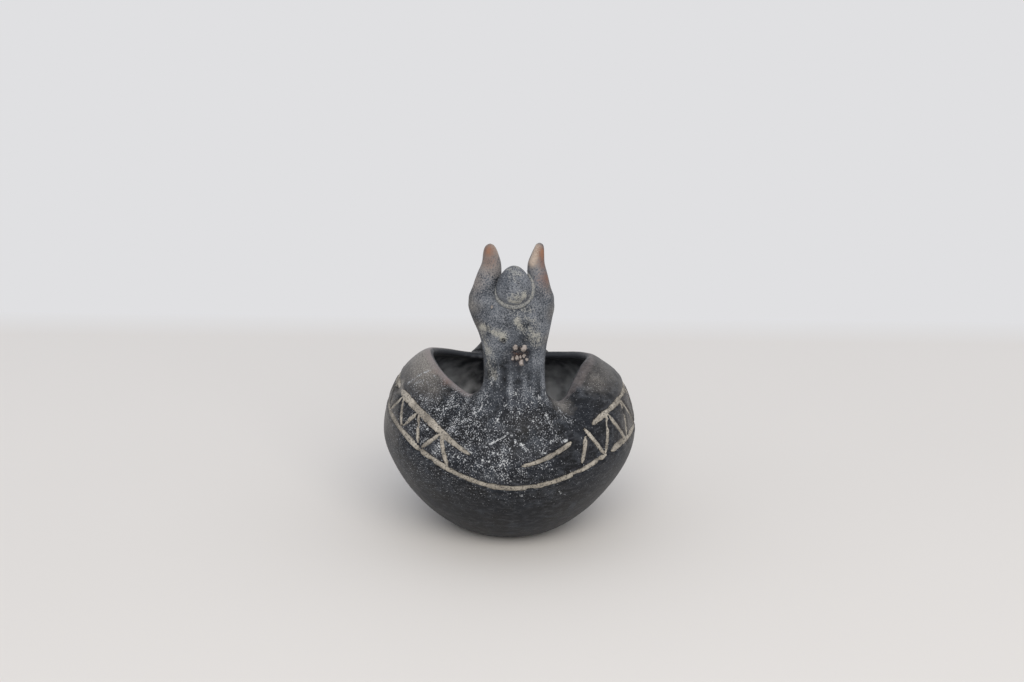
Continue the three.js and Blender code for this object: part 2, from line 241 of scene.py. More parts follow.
def between(stations, at):
    """The values at a height or an angle, on smooth curves through the stations round it."""
    count = len(stations)
    after = next((i for i in range(1, count - 1) if stations[i][0] >= at), count - 1)
    before = after - 1
    span = stations[after][0] - stations[before][0]
    share = min(1.0, max(0.0, (at - stations[before][0]) / span))

    def slope(index, column):
        low = stations[max(0, index - 1)]
        high = stations[min(count - 1, index + 1)]
        return (high[column] - low[column]) / (high[0] - low[0]) * span

    values = []
    for column in range(1, len(stations[0])):
        start, end = stations[before][column], stations[after][column]
        leave, arrive = slope(before, column), slope(after, column)
        bend = 2 * start - 2 * end + leave + arrive
        lean = -3 * start + 3 * end - 2 * leave - arrive
        values.append(((bend * share + lean) * share + leave) * share + start)
    return values


# The bowl's form.
LIP_RADIUS = LIP_THICKNESS / 2
LIP_MIDDLE = (MOUTH_RADIUS + LIP_RADIUS, RIM_HEIGHT - LIP_RADIUS)
INNER_RADIUS = BELLY_RADIUS - WALL
UNDERSIDE = (
    (BASE_RADIUS, 0.0),
    (BASE_RADIUS + 11.2, 0.6),
    (BELLY_RADIUS, BELLY_HEIGHT - 9.7),
    (BELLY_RADIUS, BELLY_HEIGHT),
)
SHOULDER = (
    (BELLY_RADIUS, BELLY_HEIGHT),
    (BELLY_RADIUS, BELLY_HEIGHT + 12.0),
    (MOUTH_RADIUS + 6.3, RIM_HEIGHT - 0.7),
    (LIP_MIDDLE[0], RIM_HEIGHT),
)
INNER_WALL = (
    (LIP_MIDDLE[0], RIM_HEIGHT - LIP_THICKNESS),
    (LIP_MIDDLE[0] + 3.4, RIM_HEIGHT - LIP_THICKNESS - 1.0),
    (INNER_RADIUS, BELLY_HEIGHT + 11.0),
    (INNER_RADIUS, BELLY_HEIGHT),
)


def bezier(points, share):
    """The point at a share of the way along a curve through a section."""
    rest = 1 - share
    weights = (rest**3, 3 * rest * rest * share, 3 * rest * share * share, share**3)
    return tuple(sum(w * p[axis] for w, p in zip(weights, points)) for axis in (0, 1))


def arc(middle, radii, start, end, count):
    """Points on part of an ellipse, angles in degrees."""
    points = []
    for i in range(count + 1):
        turn = math.radians(blend(start, end, i / count))
        points.append((middle[0] + radii[0] * math.cos(turn), middle[1] + radii[1] * math.sin(turn)))
    return points


def bowl_section():
    """The bowl's section at its sides, from mid-base round the lip to the middle of the floor."""
    belly = [bezier(UNDERSIDE, i / CURVE_POINTS) for i in range(CURVE_POINTS + 1)]
    shoulder = [bezier(SHOULDER, i / CURVE_POINTS) for i in range(1, CURVE_POINTS)]
    lip = arc(LIP_MIDDLE, (LIP_RADIUS, LIP_RADIUS), 90, 270, LIP_POINTS)
    inner_wall = [bezier(INNER_WALL, i / WALL_POINTS) for i in range(1, WALL_POINTS)]
    hollow = arc((0.0, BELLY_HEIGHT), (INNER_RADIUS, BELLY_HEIGHT - FLOOR), 0, -90, WALL_POINTS)
    kept = [(BASE_SPACING * i, 0.0) for i in range(round(BASE_RADIUS / BASE_SPACING))]
    for part, spacing in ((belly, None), (shoulder, BAND_SPACING), (lip, LIP_SPACING)):
        for point in part:
            apart = spacing or (BAND_SPACING if point[1] > BAND_BOTTOM else PLAIN_SPACING)
            if math.dist(point, kept[-1]) >= apart:
                kept.append(point)
    for point in inner_wall + hollow[:-1]:
        if math.dist(point, kept[-1]) >= PLAIN_SPACING:
            kept.append(point)
    return kept + [(0.0, FLOOR)]


def pressed(place):
    """The saddle: the shoulder is pressed down towards the front and the back."""
    x, y, z = place
    away = math.hypot(x, y)
    share = (y / away) ** 2 if away > 1e-6 else 1.0
    drop = max(0.0, z - BELLY_HEIGHT) * RIM_DIP * share
    return Vector((x, y * LENGTH_RATIO, z - drop))


def by_hand(place):
    """The unevenness of a bowl that was pinched and not thrown, and its rim, sunk and spread by use. The base
    stays flat.
    """
    sway = sum((noise.noise_vector(place / size) * most for size, most in SWELLS), Vector())
    sway.z *= smooth_step(*FLAT_BASE, place.z)
    out = Vector((place.x, place.y, 0.0))
    if place.z > BELLY_HEIGHT and out.length > 1.0:
        out.normalize()
        climb = (place.z - BELLY_HEIGHT) / (RIM_HEIGHT - BELLY_HEIGHT) / (1 - RIM_DIP * out.y**2)
        sunk, spread = between(RIM_WEAR, math.degrees(math.atan2(place.x, -place.y)))
        sway += (out * spread - Vector((0, 0, sunk))) * smooth_step(RIM_WEAR_START, 1.0, climb)
    return place + sway


def bowl_radius(height):
    """The bowl's outside radius at its sides, at a height."""
    curve = UNDERSIDE if height < BELLY_HEIGHT else SHOULDER
    low, high = 0.0, 1.0
    for _ in range(RADIUS_HALVINGS):
        middle = (low + high) / 2
        if bezier(curve, middle)[1] < height:
            low = middle
        else:
            high = middle
    return bezier(curve, low)[0]


def on_bowl(degrees, height):
    """A place on the bowl's outside, at an angle from the front towards +X and a height."""
    turn = math.radians(degrees)
    rise = 1 - RIM_DIP * math.cos(turn) ** 2 if height > BELLY_HEIGHT else 1.0
    radius = bowl_radius(BELLY_HEIGHT + (height - BELLY_HEIGHT) / rise)
    return by_hand(Vector((radius * math.sin(turn), -radius * LENGTH_RATIO * math.cos(turn), height)))


# Working the clay.
def turned(bm, profile, steps):
    """A closed form spun about Z from a profile that starts and ends on the axis. Returns its vertices."""
    others = set(bm.verts)
    chain = [bm.verts.new((radius, 0.0, height)) for radius, height in profile]
    edges = [bm.edges.new(pair) for pair in zip(chain, chain[1:])]
    bmesh.ops.spin(
        bm,
        geom=chain + edges,
        axis=(0, 0, 1),
        cent=(0, 0, 0),
        dvec=(0, 0, 0),
        angle=2 * math.pi,
        steps=steps,
        use_merge=True,
    )
    made = [vert for vert in bm.verts if vert not in others]
    bmesh.ops.remove_doubles(bm, verts=made, dist=MERGE_DISTANCE)
    made = [vert for vert in bm.verts if vert not in others]
    bmesh.ops.recalc_face_normals(bm, faces=list({face for vert in made for face in vert.link_faces}))
    return made


def roll_of_clay(bm, rings):
    """A closed roll, spun straight and then drawn ring by ring to its places. The rings turn as a
    right-handed screw does along the roll, so that its skin keeps facing outwards."""
    steps = len(rings[0])
    last = len(rings) + 1
    profile = [(0.0, 0.0)] + [(1.0, float(i)) for i in range(1, last)] + [(0.0, float(last))]
    for vert in turned(bm, profile, steps):
        level = round(vert.co.z)
        if level in (0, last):
            ring = rings[0] if level == 0 else rings[-1]
            vert.co = sum(ring, Vector()) / steps
        else:
            index = round(math.atan2(vert.co.y, vert.co.x) / (2 * math.pi) * steps) % steps
            vert.co = rings[level - 1][index]


def turns(steps):
    """Even angles all the way round."""
    return [2 * math.pi * i / steps for i in range(steps)]


def column_place(stations, height, turn):
    """A place on the skin of a rolled piece, oval at every height."""
    left, right, front, back = between(stations, height)
    x = (left + right) / 2 + (right - left) / 2 * math.cos(turn)
    y = (front + back) / 2 + (back - front) / 2 * math.sin(turn)
    return Vector((x, y, height))


def plain_column(stations, steps=48, rows=60):
    """The tree of a rolled piece before it is luted, for measuring how far away its skin is."""
    bm = bmesh.new()
    heights = [blend(stations[0][0], stations[-1][0], i / rows) for i in range(rows + 1)]
    roll_of_clay(bm, [[column_place(stations, z, t) for t in turns(steps)] for z in heights])
    tree = BVHTree.FromBMesh(bm)
    bm.free()
    return tree


def gap(tree, place):
    """How far a place is outside a skin, less than nothing inside it, and the way out."""
    nearest, normal, _, distance = tree.find_nearest(place)
    if distance < TOUCHING:
        return 0.0, normal
    away = (place - nearest) / distance
    if away.dot(normal) < 0:
        return -distance, -away
    return distance, away


def smeared(place, own, host, reach):
    """A place moved to the hollow curve that a wet finger leaves where two pieces of clay meet."""
    for _ in range(SMEAR_PASSES):
        own_gap, own_way = gap(own, place)
        host_gap, host_way = gap(host, place)
        near = max(reach - abs(own_gap - host_gap), 0.0) / reach
        skin = min(own_gap, host_gap) - near * near * reach / 4
        own_share = 1 - near / 2 if own_gap < host_gap else near / 2
        way = own_way * own_share + host_way * (1 - own_share)
        place = place - way * (skin / max(way.length_squared, LEAST_PULL))
    return place


def meeting_heights(stations, host, steps):
    """The height at which each side of a rolled piece goes into what carries it."""
    heights = []
    for turn in turns(steps):
        height = stations[-1][0]
        while height > stations[0][0] and gap(host, column_place(stations, height, turn))[0] > 0:
            height -= MEETING_STEP
        heights.append(height)
    for _ in range(4):
        heights = [(heights[i - 1] + 2 * heights[i] + heights[(i + 1) % steps]) / 4 for i in range(steps)]
    return heights


def creep(host, start, heading, length, count):
    """Places and normals along a skin, away from a start in a heading."""
    place, normal, _, _ = host.find_nearest(start)
    path = []
    for _ in range(count):
        heading = (heading - normal * heading.dot(normal)).normalized()
        place, normal, _, _ = host.find_nearest(place + heading * (length / count))
        path.append((place, normal))
    return path


def luted_column(stations, host, steps, rows, skirt_rows, reach):
    """A roll of clay joined to its host: its foot is smeared out over the host until it lies flush."""
    own = plain_column(stations)
    feet = meeting_heights(stations, host, steps)
    top = stations[-1][0]
    rings = []
    for row in range(rows + 1):
        ring = []
        for foot, turn in zip(feet, turns(steps)):
            height = blend(top, foot, row / rows)
            place = column_place(stations, height, turn)
            if height - foot < SMEARED_RISE * reach:
                place = smeared(place, own, host, reach)
            ring.append(place)
        rings.append(ring)
    skirts = []
    for foot, turn in zip(feet, turns(steps)):
        start = column_place(stations, foot, turn)
        heading = gap(own, start + Vector((math.cos(turn), math.sin(turn), 0)) * STEP_OUT)[1]
        skirts.append(creep(host, start, heading + Vector((0, 0, -1)), reach * SKIRT_LENGTH, skirt_rows))
    for row in range(skirt_rows):
        share = (row + 1) / skirt_rows
        lift = 1 - smooth_step(*LIFT_SPAN, share)
        sink = EDGE_TUCK * smooth_step(*TUCK_SPAN, share)
        ring = []
        for place, normal in (path[row] for path in skirts):
            ring.append(place.lerp(smeared(place, own, host, reach), lift) - normal * sink)
        rings.append(ring)
    rings.append([path[-1][0] - path[-1][1] * HEM_TUCK for path in skirts])
    rings.append([path[0][0] - path[0][1] * CORE_TUCK for path in skirts])
    bm = bmesh.new()
    roll_of_clay(bm, rings[::-1])
    bm.normal_update()
    return bm


# The strokes of the band. Each of its two lines has a rise over the belly, the depth and the width in
# degrees of its dips at the front and the back, and heights by which it leans to the right and waves.
LOWER_LINE = (5.6, (11.2, 45), (5.0, 40), 3.2, 0.8)
UPPER_LINE = (14.5, (12.6, 38), (6.8, 40), 0.8, 0.0)


def band_line(degrees, rise, front_dip, back_dip, lean, wave):
    """The height of a line of the band at an angle from the front."""
    turn = math.radians(degrees)
    aside = (degrees + 180) % 360 - 180
    dip = front_dip[0] * bump(aside, front_dip[1]) + back_dip[0] * bump(180 - abs(aside), back_dip[1])
    return BELLY_HEIGHT + rise - dip - lean * math.sin(turn) + wave * math.sin(2 * turn)


# The strokes along the lines by the name of their paste: start and end in degrees, and the width at each.
LINES = {
    "lower_line_paste_front": (LOWER_LINE, -97, 50, 1.9, 1.9),
    "lower_line_paste_right": (LOWER_LINE, 54, 150, 2.5, 1.6),
    "lower_line_paste_back": (LOWER_LINE, 154, 259, 1.6, 1.6),
    "upper_line_paste_front": (UPPER_LINE, 6, 31, 1.1, 2.2),
    "upper_line_paste_right": (UPPER_LINE, 45, 150, 2.0, 2.1),
    "upper_line_paste_back": (UPPER_LINE, 154, 250, 1.8, 2.0),
    "upper_line_paste_left": (UPPER_LINE, 254, 342, 3.7, 1.8),
}

# Where paste has fallen out of the lines: a middle, a radius and how much is lost.
LOST = (
    ((-34.8, -7.5, 48.2), 4.5, 1.0),
    ((-13.5, -36.8, 38.6), 4.5, 0.5),
    ((30.5, -18.0, 46.0), 1.6, 0.8),
)

# The feet of the chevrons that were spaced by eye, in degrees from the front.
UNEVEN_FEET = {
    0: (33.5, 48.5),
    1: (49.5, 66.5),
    2: (68.8, 82.2),
    15: (284.2, 299.2),
    16: (300.2, 314.0),
    17: (316.5, 331.5),
}

# The strokes that start or end off their marks: chevron and foot, and the shares of the way drawn.
STRAY_STROKES = {(0, 0): (0.1, 0.83), (0, 1): (-0.13, 1.0)}


def chevron_routes(number):
    """The two strokes of a chevron, both drawn from its apex, no two chevrons quite alike."""
    shake = noise.noise_vector(SHAKE_START + Vector((number * SHAKE_STEP, 0, 0)))
    apex = blend(FIRST_APEX, LAST_APEX, number / (CHEVRONS - 1))
    even_feet = (apex - HALF_CHEVRON + shake.x, apex + HALF_CHEVRON + shake.y)
    routes = []
    for index, foot in enumerate(UNEVEN_FEET.get(number, even_feet)):
        start = (blend(apex, foot, APEX_SPREAD), band_line(apex, *UPPER_LINE) - APEX_CLEARANCE)
        end = (foot, band_line(foot, *LOWER_LINE) + FOOT_CLEARANCE + shake.z * FOOT_SHAKE)
        drawn = STRAY_STROKES.get((number, index), (0.0, 1.0))
        shares = [blend(*drawn, i / STROKE_POINTS) for i in range(STROKE_POINTS + 1)]
        routes.append([tuple(blend(a, b, share) for a, b in zip(start, end)) for share in shares])
    return routes


def line_route(line, start, end):
    """Angles and heights along a line of the band."""
    angles = [blend(start, end, i / LINE_POINTS) for i in range(LINE_POINTS + 1)]
    return [(degrees, band_line(degrees, *line)) for degrees in angles]


def stroke_places(route, host):
    """Places close together along a stroke, each with the clay's outward normal."""
    corners = [on_bowl(*point) for point in route]
    places = []
    for start, end in zip(corners, corners[1:]):
        count = max(1, round((end - start).length / STROKE_SPACING))
        for i in range(count):
            places.append(host.find_nearest(start.lerp(end, i / count))[:2])
    places.append(host.find_nearest(corners[-1])[:2])
    return places


def stroke_half_widths(places, first, last):
    """Half the width of a stroke along its length, from the first to the last, drawn out at both ends."""
    count = len(places)
    halves = []
    for i, (place, _) in enumerate(places):
        end = min(i, count - 1 - i) * STROKE_SPACING
        width = blend(first, last, i / (count - 1))
        taper = 0.5 + 0.5 * smooth_step(0.0, STROKE_TAPER, end)
        swell = sum((most * noise.noise(place / size) for size, most in STROKE_SWELLS), 1)
        halves.append(width / 2 * taper * swell)
    return halves


def band_strokes(host):
    """Every mark of the band by the name of its paste: its strokes, each as places and half widths."""
    drawn = {name: ([line_route(*line[:3])], line[3:]) for name, line in LINES.items()}
    for number in range(CHEVRONS):
        drawn[f"zigzag_paste_{number + 1:02d}"] = (chevron_routes(number), (STROKE_WIDTH, STROKE_WIDTH))
    marks = {}
    for name, (routes, widths) in drawn.items():
        strokes = [stroke_places(route, host) for route in routes]
        marks[name] = [(places, stroke_half_widths(places, *widths)) for places in strokes]
    return marks


def incise(bm, marks):
    """Cuts the strokes into the bowl, with the low burr that a stick throws up on each side."""
    points = [
        (place, half)
        for strokes in marks.values()
        for places, halves in strokes
        for (place, _), half in zip(places, halves)
    ]
    tree = kdtree.KDTree(len(points))
    for index, (place, _) in enumerate(points):
        tree.insert(place, index)
    tree.balance()
    for vert in bm.verts:
        _, index, distance = tree.find(vert.co)
        if distance > UNTOUCHED:
            continue
        half = points[index][1] * GROOVE_SPREAD
        floor_end, wall_end = (half * share for share in GROOVE_WALL)
        cut = GROOVE_DEPTH * (1 - smooth_step(floor_end, wall_end, distance))
        burr = BURR_HEIGHT * bump(distance - half * BURR_PLACE, BURR_WIDTH)
        vert.co += vert.normal * (burr - cut)
    bm.normal_update()


def paste_strip(bm, places, halves):
    """Paste in one stroke: nearly full in most places, shrunken or lost where it has rubbed away."""
    rings = []
    count = len(places)
    for i, ((place, normal), half) in enumerate(zip(places, halves)):
        along = (places[min(count - 1, i + 1)][0] - places[max(0, i - 1)][0]).normalized()
        across = normal.cross(along).normalized()
        handled = HANDLED_MOST * smooth_step(*HANDLED_SPAN, place.y)
        patchy = noise.noise(place / WEAR_SIZE + WEAR_PLACE)
        loss = smooth_step(WEAR_SPAN[0] - handled, WEAR_SPAN[1], patchy)
        loss = max(WEAR_MOST * loss, patched(LOST, place))
        half *= 1 - NARROWED * loss
        top = -PASTE_SUNK - LOWERED * loss + PASTE_SUNK * noise.noise(place / PASTE_CRUMB)
        bottom = -GROOVE_DEPTH - PASTE_ROOT
        middle = place + normal * (top + bottom) / 2
        tall = (top - bottom) / 2
        ring = []
        for turn in turns(PASTE_SIDES):
            lift = math.copysign(abs(math.sin(turn)) ** PASTE_SQUARENESS, math.sin(turn))
            ring.append(middle + across * (half * math.cos(turn)) + normal * (tall * lift))
        rings.append(ring)
    roll_of_clay(bm, rings)


# Wear and tone, with painted sheen and painted light. Each streak of dust runs through its places, and has a
# radius and a strength.
# None goes further than this from its first place.
LONGEST_STREAK = 21.0
DUST = (
    ((-32.0, -11.5, 50.0), (-25.5, -13.5, 55.0), 0.6, 0.8),
    ((-31.0, -14.0, 49.8), (-26.5, -15.5, 52.6), 0.5, 0.7),
    ((-24.0, -15.5, 54.5), (-20.0, -21.0, 52.0), 0.8, 0.6),
    ((-29.5, -13.0, 51.2), (-25.0, -17.5, 51.6), 1.4, 0.56),
    ((-5.0, -32.0, 59.5), (-7.5, -30.5, 54.5), 0.9, 0.8),
    ((-8.0, -39.5, 34.0), (4.0, -40.5, 32.0), 3.0, 0.58),
    ((8.0, 35.0, 44.0), (-12.0, 33.0, 42.0), 6.0, 0.5),
)

# The other streaks and scratches by the pixels of the image that they run through, with the same radius in
# millimetres and strength.
DUST_AND_HIGHLIGHTS_BY_PIXEL = {
    "wash on the left shoulder": ((412, 392), (430, 402), (440, 410.5), 2.0, 0.6),
    "long scratch": ((440, 410.5), (455, 406), (469.5, 402.5), 0.6, 0.95),
    # White streaks along the ridge left of the neck's foot, also a painted highlight of that ridge, which is
    # not modelled.
    "streak left of the neck": ((457.9, 423), (468, 418.5), (479.3, 410), (487.3, 396.3), 0.7, 0.85),
    "veil left of the neck": ((475, 417), (484, 430), 2.2, 0.6),
    "hooked scratch": ((464, 435.5), (470.4, 432.4), (480.2, 433.8), (479.3, 443.6), 0.6, 0.8),
    "end of the upper line": ((457, 440), (470.5, 452.5), 1.0, 0.85),
    "thin scratch": ((495.4, 423), (506, 404.7), 0.45, 0.85),
    "rise of the curve": ((484.6, 448), (492.7, 442.7), (500.7, 438.7), (508.8, 433.8), 0.5, 0.78),
    "crest of the curve": ((507.2, 433.5), (510.7, 434.4), (514, 437.3), (515.9, 442.2), 0.6, 1.0),
    "blob right of the curve": ((520.4, 443.6), (526.6, 449.8), 0.7, 0.95),
    "spot above the blob": ((522.5, 435.5), (523.5, 437), 0.6, 0.8),
    "squiggle": ((492.7, 451.6), (494.5, 457), (497.1, 454.3), 0.5, 0.9),
    "dash": ((482, 459.6), (488.7, 461.4), 0.5, 1.0),
    "hook on the right": ((550.7, 442.7), (557, 439.1), (562.3, 440.9), (567.2, 440.9), 0.8, 0.95),
    # White streaks along the ridge right of the neck's foot, also a painted highlight of that ridge, which is
    # not modelled.
    "upper streak on the right": ((538.2, 396.3), (544, 408), (546.3, 414.1), 1.2, 0.64),
    "lower streak on the right": ((546.3, 414.1), (550.7, 425.7), (557, 439.1), 1.5, 0.78),
    "left comma": ((538.2, 396.3), (540.9, 398.5), 0.5, 1.0),
    "right comma": ((545.4, 392.7), (547.6, 399.4), 0.55, 1.0),
    "blob above the lower line": ((541, 452), (544.5, 453), 1.0, 0.85),
    "smear below the lower line": ((538.2, 468.1), (548.9, 466.3), 0.6, 0.75),
    "wash down the throat": ((515.9, 390), (513.2, 407.9), (510.5, 416.8), 1.2, 0.6),
    "long tick": ((533.8, 420.4), (527.5, 426.6), 0.7, 0.85),
    "short tick": ((534.6, 414.1), (536.4, 418.6), 0.45, 0.8),
    "veil below the rim": ((560, 412), (570, 420), 2.6, 0.66),
    "spot between the lines": ((424, 425), (428, 430), 0.9, 0.85),
    "veil between the lines": ((450, 452), (466, 462), 2.4, 0.62),
    "nick on the right": ((559, 491.7), (562, 493.5), 0.6, 0.9),
    "nick on the left": ((452, 478), (454.5, 478.6), 0.6, 0.9),
    "nick in the middle": ((520, 495), (522.2, 495.6), 0.5, 0.7),
    "low scratch": ((577.3, 484), (600, 470), 0.5, 0.65),
}

# Each patch or streak of tone has one place or more, a radius and a strength.
# Rubbed patches on the head, at the neck's foot and on the shoulders, and a painted highlight on the right
# shoulder.
RUBBED_AND_HIGHLIGHT_PATCHES = (
    ((-11.8, -28.8, 82.0), 4.2, 0.62),
    ((-9.8, -29.6, 75.0), 3.4, 0.65),
    ((12.7, -28.4, 80.0), 3.6, 0.5),
    ((11.2, -29.0, 71.0), 3.0, 0.5),
    ((16.2, -25.0, 48.6), 4.4, 0.75),
    # A painted highlight on the right shoulder.
    ((27.0, -12.0, 51.5), 6.0, 0.56),
    ((-34.5, -8.0, 48.0), 3.2, 1.0),
    ((-28.0, -14.5, 51.5), (-23.0, -20.0, 51.0), 3.0, 0.62),
)
PALE = (
    ((-8.5, -30.5, 75.6), (-2.5, -33.2, 73.4), 2.0, 1.0),
    ((-8.0, -30.5, 72.0), (-5.5, -32.0, 60.0), 2.6, 0.75),
    ((6.0, -32.8, 75.3), (8.6, -31.4, 71.0), 2.7, 0.72),
    ((4.5, -33.2, 79.0), (8.0, -32.0, 77.0), 1.6, 0.55),
    ((2.2, -33.4, 78.4), (3.4, -33.2, 76.2), 1.5, 1.0),
    ((1.0, -33.2, 81.5), (6.0, -32.6, 82.0), 1.8, 0.6),
    ((1.4, -36.0, 85.6), (4.6, -35.6, 86.4), 2.6, 1.0),
    # A painted highlight on top of the boss.
    ((1.0, -31.4, 95.0), (1.0, -33.6, 93.6), 3.4, 0.65),
)
BLUSH = (
    ((-6.0, -27.0, 98.0), 4.0, 1.0),
    ((-6.5, -27.0, 94.5), 5.0, 0.82),
    ((-10.2, -28.0, 89.0), 4.5, 0.58),
    ((7.4, -27.8, 99.6), (6.6, -28.4, 95.5), 2.6, 1.0),
    ((8.2, -27.0, 94.0), 5.0, 0.52),
    ((11.0, -28.0, 88.0), 4.5, 0.5),
)
RUST = (
    ((-6.7, -28.2, 98.6), 2.6, 0.9),
    ((-6.6, -28.6, 96.0), 3.0, 0.55),
    ((9.7, -27.8, 98.6), (9.9, -27.8, 94.6), 2.6, 0.76),
    ((10.6, -28.6, 90.5), 3.4, 0.72),
    ((3.0, -33.5, 67.4), 3.4, 0.3),
    ((-23.0, -14.0, 54.2), 3.0, 0.3),
    ((-19.5, -18.5, 52.4), 2.4, 0.5),
)
SCAR = (((3.0, -33.5, 67.3), 3.2, 1.0), ((-2.2, -33.3, 72.1), 0.9, 1.5))

# The middle of the neck, across and along, and the sizes of the grains that break every tone up.
NECK_AXIS = (1.3, -27.0)
TONE_GRAINS = (9.0, 3.0, 1.2)


def from_streak(place, start, end):
    """How far a place is from a streak between two others."""
    start, along = Vector(start), Vector(end) - Vector(start)
    share = min(1.0, max(0.0, (place - start).dot(along) / along.length_squared))
    return (place - start - along * share).length


def patched(patches, place):
    """How strongly the patches or streaks of one tone cover a place."""
    strength = 0.0
    for *spots, radius, most in patches:
        if (place - Vector(spots[0])).length > radius * 2 + LONGEST_STREAK:
            continue
        distance = min((from_streak(place, *ends) for ends in zip(spots, spots[1:])), default=None)
        if distance is None:
            distance = (place - Vector(spots[0])).length
        strength = max(strength, most * bump(distance, radius))
    return strength


def breast(place):
    """The share of a place in the dusty breast: in front, above the lower line and below the throat."""
    line = band_line(math.degrees(math.atan2(place.x, -place.y)), *LOWER_LINE)
    aside = smooth_step(27, 9, place.x) * smooth_step(-8, -26, place.y)
    return aside * smooth_step(line - 0.5, line + 3, place.z) * smooth_step(64, 54, place.z)


def neck_share(place):
    """The share of a place in the neck and the head."""
    from_axis = math.hypot(place.x - NECK_AXIS[0], place.y - NECK_AXIS[1])
    return smooth_step(18, 12, from_axis) * smooth_step(46, 56, place.z)


def runs(place):
    """Streaks that run down the neck and fan out over the breast."""
    fanned = (place.x - 1.2) / (1 + 0.05 * max(0.0, 54.0 - place.z))
    return noise.noise(Vector((fanned / 1.6, place.y / 9.0, place.z / 11.0)))


def neck_ash(place, run):
    """Ash grey on the neck: palest on the head, streaked at the foot, darker at the sides and in the scar."""
    ash = 0.52 + 0.28 * smooth_step(58, 75, place.z) + 0.16 * smooth_step(84, 95, place.z)
    ash += 0.45 * run * smooth_step(72, 58, place.z)
    return ash - (0.15 * smooth_step(6.5, 12, abs(place.x - 2.0)) + 0.55 * patched(SCAR, place))


def rubbing_and_painted_sheen(place, on_neck):
    """Shoulders rubbed lighter, most on the left, with painted top light and sheen there; painted sheen at
    the widest sides.
    """
    sideways = smooth_step(19, 33, place.x) + smooth_step(-12, -26, place.x)
    # The shoulder tops: rubbed clay, with painted top light and sheen.
    on_shoulder = smooth_step(43, 58, place.z) * sideways * (1 - on_neck)
    # Painted sheen: the widest sides are lightened as a burnished skin shines where it turns away; some of it
    # is rubbing.
    painted_side_sheen = smooth_step(30, 39, abs(place.x)) * smooth_step(26, 37, place.z)
    rubbed = blend(0.78, 0.9, smooth_step(10, -10, place.x))
    return max(rubbed * on_shoulder, 0.56 * painted_side_sheen, patched(RUBBED_AND_HIGHLIGHT_PATCHES, place))


def soil(place, dust, run, crumb):
    """Pale soil on the breast, more on its left, and in single streaks."""
    dusty = blend(0.43, 0.49, smooth_step(0, -14, place.x)) * breast(place) * (0.92 + 0.6 * run)
    return max(dusty, patched(dust, place) * (0.85 + 0.6 * crumb))


def sprinkled(place, on_neck):
    """A little soil on the rest of the front, more on the left."""
    in_front = smooth_step(12, 26, place.z) * smooth_step(5, -20, place.y) * (1 - on_neck)
    return in_front * blend(0.17, 0.34, smooth_step(28, -20, place.x))


def tones(place, dust):
    """The tones of the outer clay at a place by their names, as shares from 0 to 1."""
    drift, ripple, crumb = (noise.noise(place / size) for size in TONE_GRAINS)
    run = runs(place)
    on_neck = neck_share(place)
    soiled = soil(place, dust, run, crumb) * (0.97 + 0.25 * ripple + 0.2 * drift)
    return {
        "ash": blend(0.1, neck_ash(place, run), on_neck) + 0.3 * drift + 0.28 * ripple,
        # Rubbed clay, with painted top light and sheen on the shoulders and painted sheen at the widest
        # sides.
        "painted_sheen_and_rubbing": rubbing_and_painted_sheen(place, on_neck) + 0.12 * drift + 0.06 * ripple,
        # Pale soil and dust; its streaks along the ridges at the neck's foot are also a painted highlight.
        "dust": max(soiled, sprinkled(place, on_neck)),
        "pale": patched(PALE, place) * (0.85 + 0.5 * ripple + 0.6 * crumb),
        "blush": patched(BLUSH, place) * (0.95 + 0.25 * ripple),
        "rust": patched(RUST, place) * (0.95 + 0.3 * ripple),
    }


TONES = ("ash", "painted_sheen_and_rubbing", "dust", "pale", "blush", "rust", "lip", "soot", "painted_light_and_sediment")


def inside_tones(place, normal):
    """Soot on the bowl's inner skin; pale sediment low in it, partly painted light, kept off the middle of
    the back wall; and rubbed colour on the lip.
    """
    away = Vector((place.x, place.y / LENGTH_RATIO, 0.0))
    facing = away.normalized().dot(normal) if away.length > 6 else -1.0
    soot = smooth_step(-0.1, -0.65, facing) * smooth_step(1.0, 3.0, place.z)
    # The middle of the back wall, behind the neck, is kept dark.
    dark_back_middle = bump(place.x + 3, 11) * smooth_step(12, 33, place.y) * (1 + 0.5 * noise.noise(place / 4.0))
    # The height at which the pale sediment and painted light begin, higher on the left.
    sediment_top = blend(49, 55, smooth_step(5, -10, place.x))
    uneven = 0.85 + 0.5 * noise.noise(place / 6.0) + 0.4 * noise.noise(place / 2.2)
    lip = smooth_step(LIP_MIDDLE[0] + 2.8, LIP_MIDDLE[0], away.length) * smooth_step(42, 46, place.z)
    lip *= smooth_step(-0.75, -0.4, facing) * smooth_step(0.1, 0.6, normal.z)
    return {
        "soot": soot,
        # Pale sediment low in the hollow, partly painted light falling through the mouth onto the lower inner
        # wall.
        "painted_light_and_sediment": soot * smooth_step(sediment_top, 33, place.z) * (1 - 0.95 * min(1.0, dark_back_middle)) * uneven,
        "lip": lip * blend(0.45, 0.8, smooth_step(15, -15, place.x)) * smooth_step(22, 4, place.y),
    }


def joined_tones(host):
    """The same tones on clay that was smeared over the rim into the hollow, where it lies thin."""

    def thin_tones(place, _):
        nearest, normal, _, distance = host.find_nearest(place)
        thin = smooth_step(2.4, 0.5, distance)
        return {name: value * thin for name, value in inside_tones(nearest, normal).items()}

    return thin_tones


def weathered(bm, dust, more=None, least=None):
    """Writes the tones on every vertex, with more of them from a test and none less than a given one."""
    layers = {name: bm.verts.layers.float.new(name) for name in TONES}
    for vert in bm.verts:
        values = tones(vert.co, dust)
        if more:
            values.update(more(vert.co, vert.normal))
        for name, layer in layers.items():
            vert[layer] = min(1.0, max((least or {}).get(name, 0.0), values.get(name, 0.0)))


